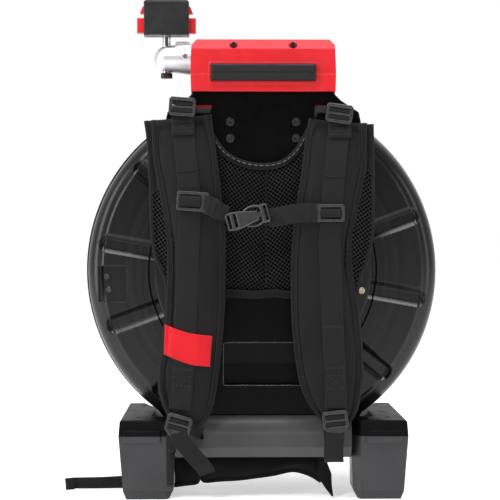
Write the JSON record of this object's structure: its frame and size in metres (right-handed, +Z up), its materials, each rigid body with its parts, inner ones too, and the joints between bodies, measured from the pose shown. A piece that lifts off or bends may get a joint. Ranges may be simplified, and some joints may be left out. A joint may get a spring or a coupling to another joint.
{
  "type": "drain snake machine",
  "caption": "Backpack drum machine: friction-driven cable drum on a skid frame with a top power unit, swivel clip arm and padded carrying harness.",
  "frame": {"origin": "on the ground, midway between the four skid bolt holes", "axes": "+X across the machine, +Y from the harness side to the cable outlet, +Z up"},
  "size_m": [0.584, 0.339, 0.763],
  "materials": {
    "black_moulding": "fine concentric brushed gloss black",
    "plate_black": "satin black powder coat",
    "foot_plastic": "dark grey moulded plastic",
    "black_rubber": "matt black rubber",
    "red_plastic": "satin red moulded plastic",
    "black_plastic": "fine textured black plastic",
    "cast_aluminium": "bead blasted cast aluminium",
    "steel": "polished steel",
    "nickel_screw": "nickel plated",
    "black_screw": "black oxide",
    "circuit": "green circuit board",
    "cable_steel": "wound spring steel",
    "pad_fabric": "dark nylon over foam",
    "mesh_fabric": "air mesh",
    "webbing": "woven webbing",
    "buckle_plastic": "acetal buckle"
  },
  "bodies": {
    "frame": {"back_plate": "plate_black", "plate_screws": "black_screw", "base_beam": "foot_plastic", "right_foot": "foot_plastic", "left_foot": "foot_plastic", "foot_pads": "black_rubber", "front_beam": "plate_black", "front_posts": "plate_black", "nose_plate": "cast_aluminium", "nose_collar": "cast_aluminium", "cable_tip": "cable_steel", "axle": "steel", "hub_cover": "black_moulding", "cover_screws": "nickel_screw", "housing_upper": "red_plastic", "housing_lower": "red_plastic", "housing_screws": "black_screw", "bumper": "black_rubber", "motor": "steel", "gearbox": "cast_aluminium", "control_board": "circuit", "arm_spigot": "steel", "left_shoulder_pad": "pad_fabric", "right_shoulder_pad": "pad_fabric", "back_pad": "mesh_fabric", "shoulder_webbing": "webbing", "ladder_locks": "buckle_plastic", "sternum_sliders": "buckle_plastic", "sternum_straps": "webbing", "buckle_socket": "buckle_plastic", "buckle_plug": "buckle_plastic", "hip_belt": "pad_fabric"},
    "drum": {"drum_rear_shell": "black_moulding", "drum_front_shell": "black_moulding", "rim_screws": "black_screw", "drum_hub": "cast_aluminium", "hub_bolts": "black_screw", "drum_bearings": "steel", "cable_anchor": "steel", "anchor_screws": "black_screw", "cable_coil": "cable_steel"},
    "guide": {"guide_tube": "steel"},
    "drive": {"drive_shaft": "steel", "drive_wheel": "cast_aluminium", "drive_tyre": "black_rubber"},
    "feed": {"feed_lever": "black_plastic"},
    "switch": {"power_switch": "black_plastic"},
    "battery_pack": {"battery": "black_plastic"},
    "left_button": {"left_battery_button": "red_plastic"},
    "right_button": {"right_battery_button": "red_plastic"},
    "arm": {"arm_casting": "cast_aluminium", "arm_screw": "steel"},
    "head": {"head_rod": "steel", "rod_nut": "black_plastic", "head_block": "black_plastic", "jaw_spring": "steel"},
    "left_tab": {"left_jaw": "red_plastic"},
    "right_tab": {"right_jaw": "red_plastic"},
    "upper_latch": {"upper_buckle_tab": "buckle_plastic"},
    "lower_latch": {"lower_buckle_tab": "buckle_plastic"}
  },
  "joints": [
    {"name": "drum_spin", "type": "hinge", "parent": "frame", "child": "drum", "pos_m": [0, 0, 0.342], "axis": [0, 1, 0], "continuous": true},
    {"name": "drive_spin", "type": "hinge", "parent": "frame", "child": "drive", "pos_m": [0, 0, 0.6493], "axis": [0, 1, 0], "continuous": true},
    {"name": "guide_spin", "type": "hinge", "parent": "frame", "child": "guide", "pos_m": [0, 0, 0.342], "axis": [0, 1, 0], "continuous": true},
    {"name": "feed_lever_turn", "type": "hinge", "parent": "frame", "child": "feed", "pos_m": [0.0107, 0.136, 0.372], "axis": [1, 0, 0], "range_deg": [-25, 25]},
    {"name": "switch_rock", "type": "hinge", "parent": "frame", "child": "switch", "pos_m": [0.072, 0.117, 0.665], "axis": [1, 0, 0], "range_deg": [-8, 8]},
    {"name": "battery_slide", "type": "slide", "parent": "frame", "child": "battery_pack", "axis": [0, 0, 1], "range_m": [0, 0.06]},
    {"name": "left_button_press", "type": "slide", "parent": "battery_pack", "child": "left_button", "axis": [1, 0, 0], "range_m": [0, 0.002], "stiffness_N_per_m": 800},
    {"name": "right_button_press", "type": "slide", "parent": "battery_pack", "child": "right_button", "axis": [-1, 0, 0], "range_m": [0, 0.002], "stiffness_N_per_m": 800},
    {"name": "arm_tilt", "type": "hinge", "parent": "frame", "child": "arm", "pos_m": [-0.149, -0.03, 0.671], "axis": [1, 0, 0], "range_deg": [-30, 30]},
    {"name": "head_turn", "type": "hinge", "parent": "arm", "child": "head", "pos_m": [-0.149, -0.03, 0.707], "axis": [0, 0, 1], "range_deg": [-90, 90]},
    {"name": "left_tab_press", "type": "slide", "parent": "head", "child": "left_tab", "axis": [1, 0, 0], "range_m": [0, 0.006], "stiffness_N_per_m": 600, "deforming": ["jaw_spring"]},
    {"name": "right_tab_press", "type": "slide", "parent": "head", "child": "right_tab", "axis": [-1, 0, 0], "range_m": [0, 0.006], "stiffness_N_per_m": 600},
    {"name": "upper_latch_press", "type": "slide", "parent": "frame", "child": "upper_latch", "axis": [0.2588, 0, -0.9659], "range_m": [0, 0.0025], "stiffness_N_per_m": 500},
    {"name": "lower_latch_press", "type": "slide", "parent": "frame", "child": "lower_latch", "axis": [-0.2588, 0, 0.9659], "range_m": [0, 0.0025], "stiffness_N_per_m": 500}
  ],
  "couplings": [
    {"joint": "drive_spin", "follows": "drum_spin", "ratio": -7.2973}
  ]
}
